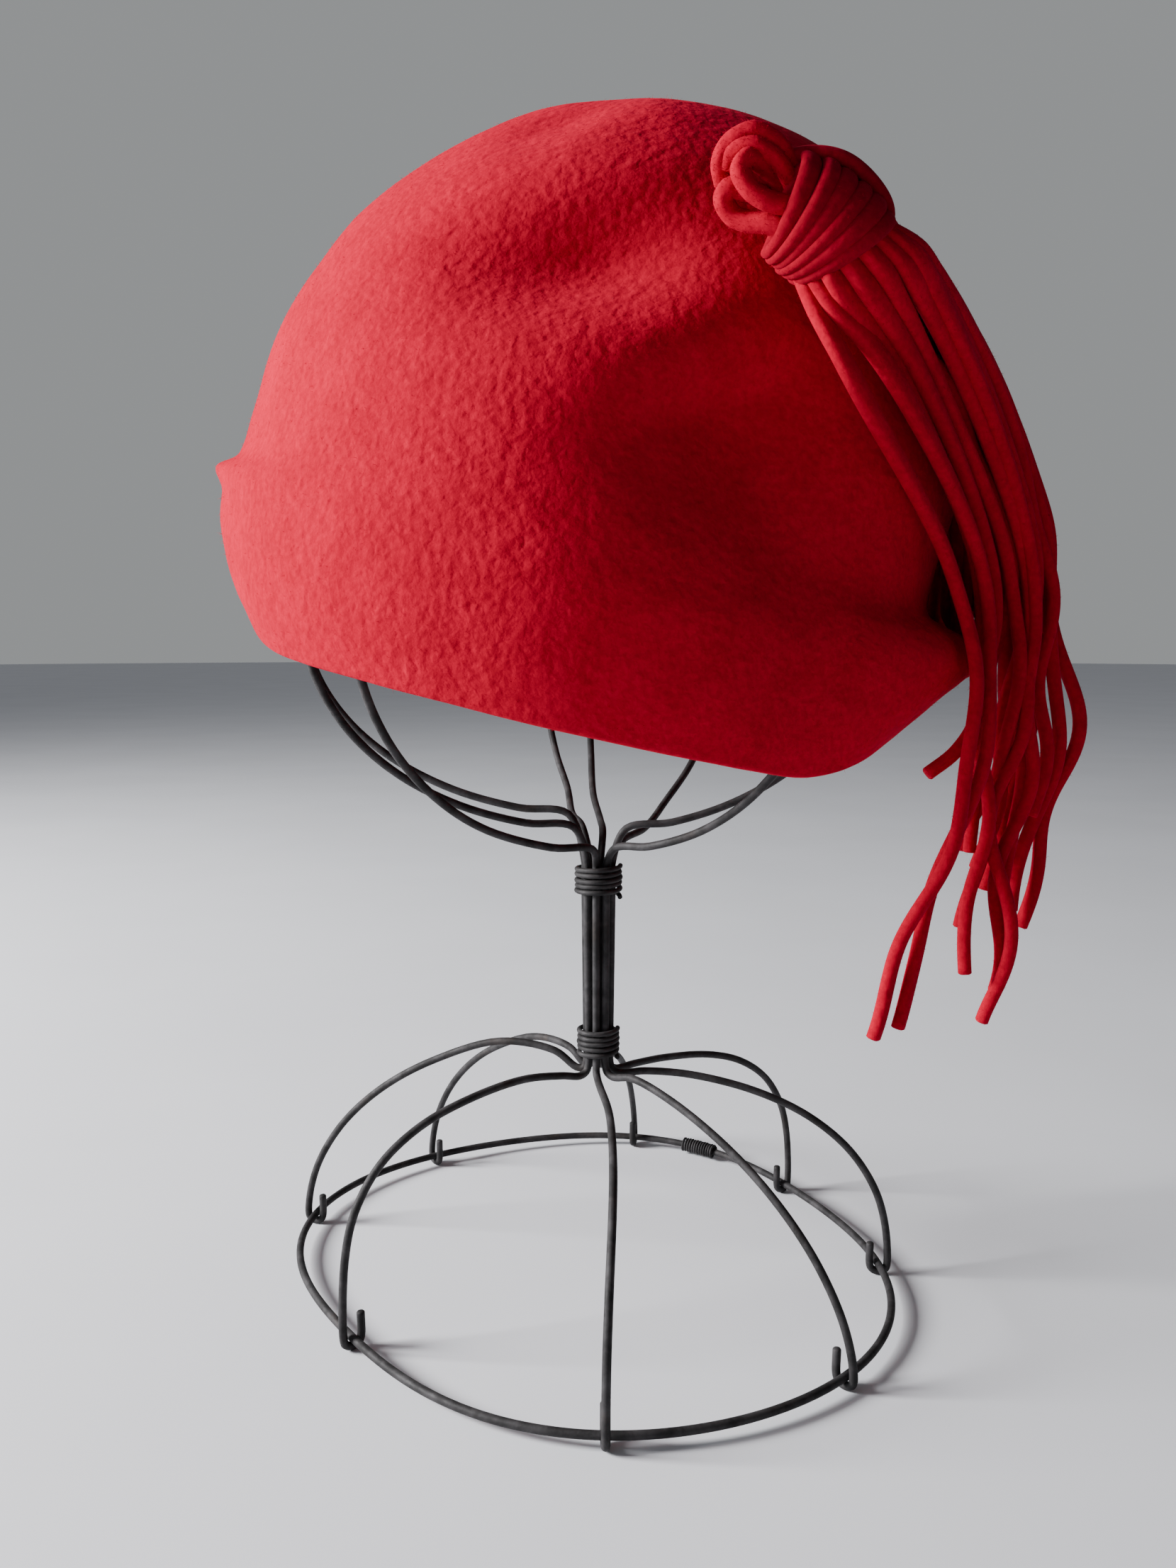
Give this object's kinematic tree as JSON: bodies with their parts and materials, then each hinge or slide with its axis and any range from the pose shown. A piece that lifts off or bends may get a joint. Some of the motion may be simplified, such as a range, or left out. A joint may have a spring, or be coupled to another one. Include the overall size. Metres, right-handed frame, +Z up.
{
  "type": "felt pixie hat on a wire hat stand",
  "caption": "Soft dented felt pixie hat with a wound knot and a tassel of felt strips at its side, resting on a wire hat stand with a round hooked base, a bound post and a bowed cage.",
  "frame": {"origin": "bottom centre of the bounding box, on the table under the stand", "axes": "+Z up along the stand's post, +X towards the back of the hat where the tassel hangs, -Y towards the viewer of the picture"},
  "size_m": [0.2426, 0.1852, 0.3357],
  "materials": {
    "felt": "matte wool felt with a short fuzzy nap",
    "iron_wire": "dark annealed wire with worn and rusty spots",
    "binding_wire": "dark thin annealed wire, wound tight"
  },
  "bodies": {
    "root": {"crown": "felt", "tassel": "felt", "knot_wrap": "felt", "base_ring": "iron_wire", "ring_splice": "iron_wire", "stand_wire_1": "iron_wire", "stand_wire_2": "iron_wire", "stand_wire_3": "iron_wire", "stand_wire_4": "iron_wire", "stand_wire_5": "iron_wire", "stand_wire_6": "iron_wire", "stand_wire_7": "iron_wire", "stand_wire_8": "iron_wire", "upper_binding": "binding_wire", "lower_binding": "binding_wire", "cage_ring": "iron_wire"}
  },
  "joints": []
}
